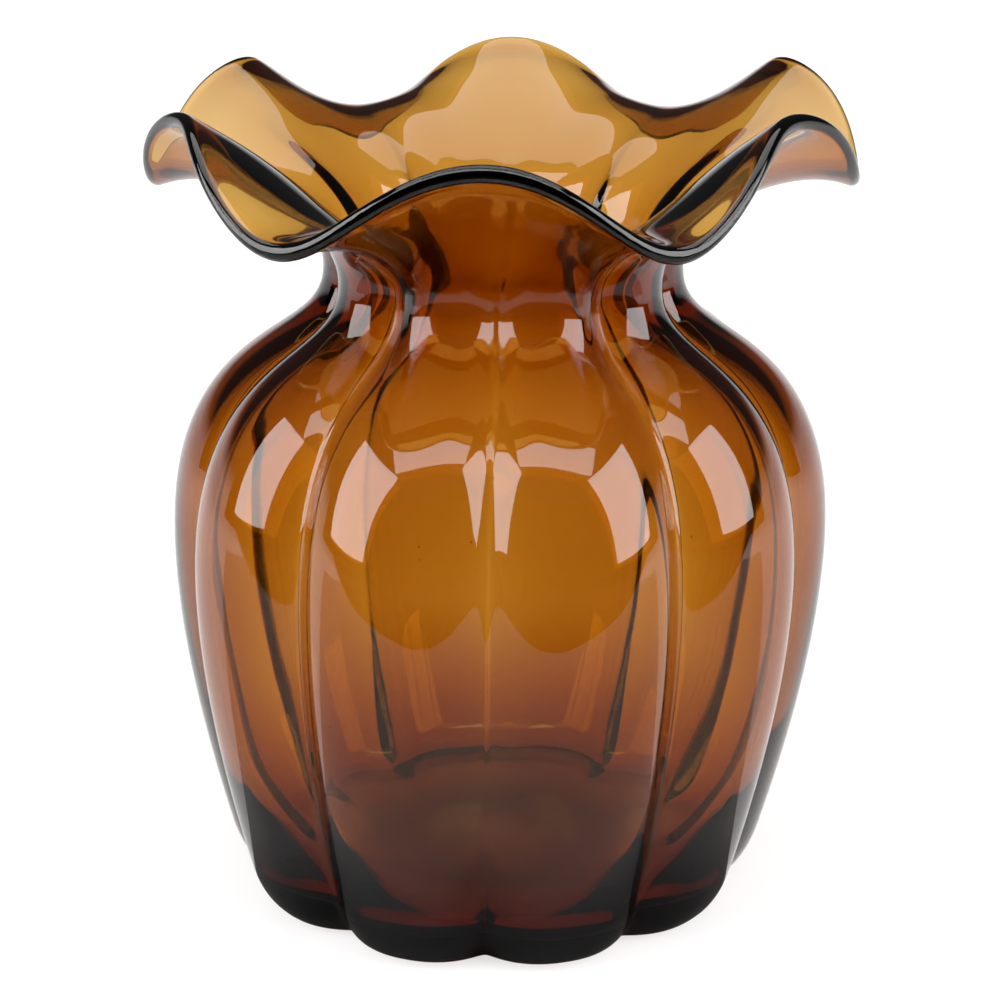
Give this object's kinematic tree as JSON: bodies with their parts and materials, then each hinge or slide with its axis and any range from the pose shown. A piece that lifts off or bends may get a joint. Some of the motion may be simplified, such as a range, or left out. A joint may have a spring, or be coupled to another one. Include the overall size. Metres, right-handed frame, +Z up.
{
  "type": "glass vase",
  "caption": "Lobed amber glass flower vase with a narrow neck, a flared ruffled collar and a thick flat foot, for holding cut flowers in water.",
  "frame": {"origin": "middle of the foot, on the surface that the vase stands on", "axes": "+Z up along the vase's axis, -Y towards the viewer, with a groove between two lobes facing -Y"},
  "size_m": [0.1874, 0.1922, 0.2199],
  "materials": {
    "amber_glass": "clear amber-brown glass, fire-polished and glossy, darker where it is thick"
  },
  "bodies": {
    "root": {"base": "amber_glass", "lobed_body": "amber_glass", "ruffled_collar": "amber_glass", "lip_bead": "amber_glass"}
  },
  "joints": []
}
